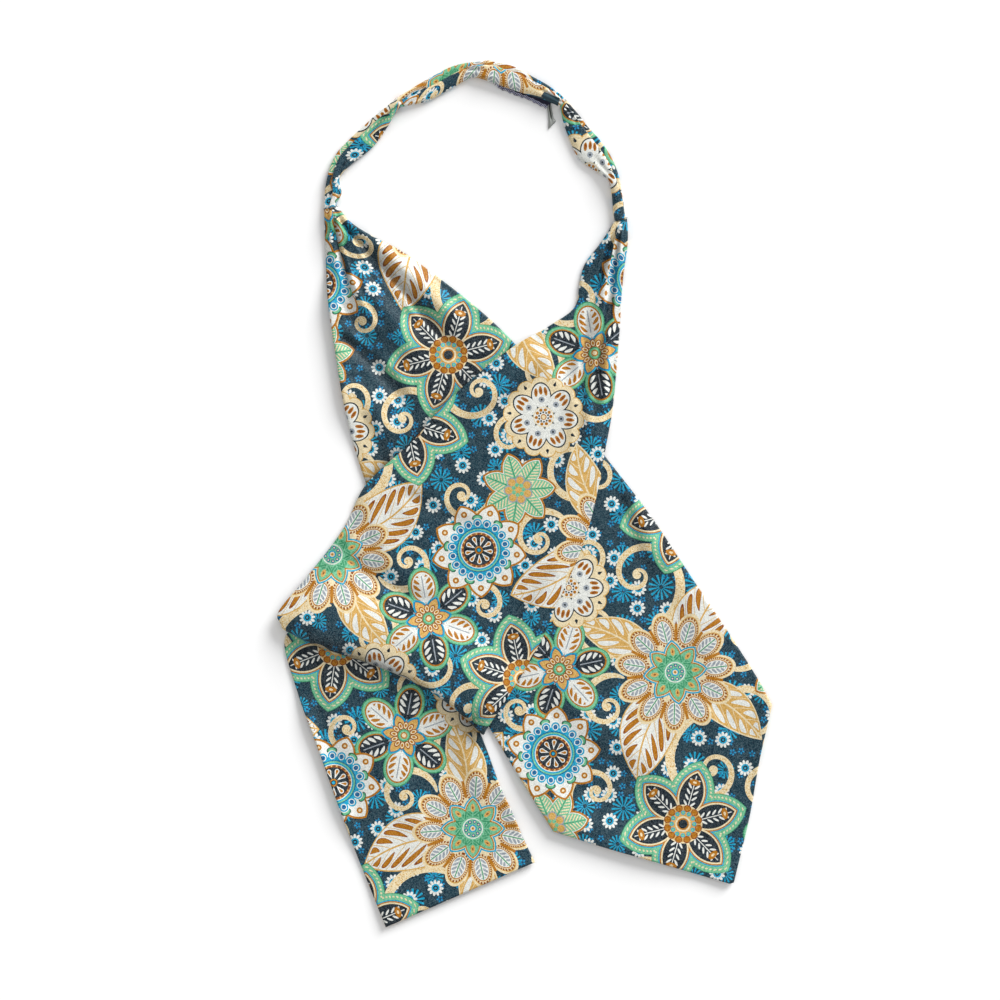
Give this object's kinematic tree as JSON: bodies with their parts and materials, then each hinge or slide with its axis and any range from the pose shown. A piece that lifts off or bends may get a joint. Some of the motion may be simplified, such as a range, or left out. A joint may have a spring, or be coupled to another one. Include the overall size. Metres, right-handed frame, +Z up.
{
  "type": "silk cravat",
  "caption": "Silk day cravat laid flat: a pleated blade with a pointed end and a tucked blade with a square end cross below a narrow folded neckband with an adjuster tape and hook.",
  "frame": {"origin": "middle of the laid cravat's outline, on the surface it lies on", "axes": "+Z up out of the surface it lies on; +Y from the pointed end towards the neckband; +X to the wearer's left as the cravat faces up, where the tucked blade joins the neckband"},
  "size_m": [0.3164, 0.5542, 0.0097],
  "materials": {
    "silk": "satin silk twill, slate blue with a printed floral design",
    "band_silk": "the same printed silk, folded",
    "ribbed_tape": "dark ribbed tape",
    "bright_metal": "dull silver plate"
  },
  "bodies": {
    "root": {"left_blade": "silk", "right_blade_panel": "silk", "right_blade_end": "silk", "neckband_left": "band_silk", "neckband_top": "band_silk", "neckband_right": "band_silk", "adjuster_tape": "ribbed_tape", "hook": "bright_metal"}
  },
  "joints": []
}
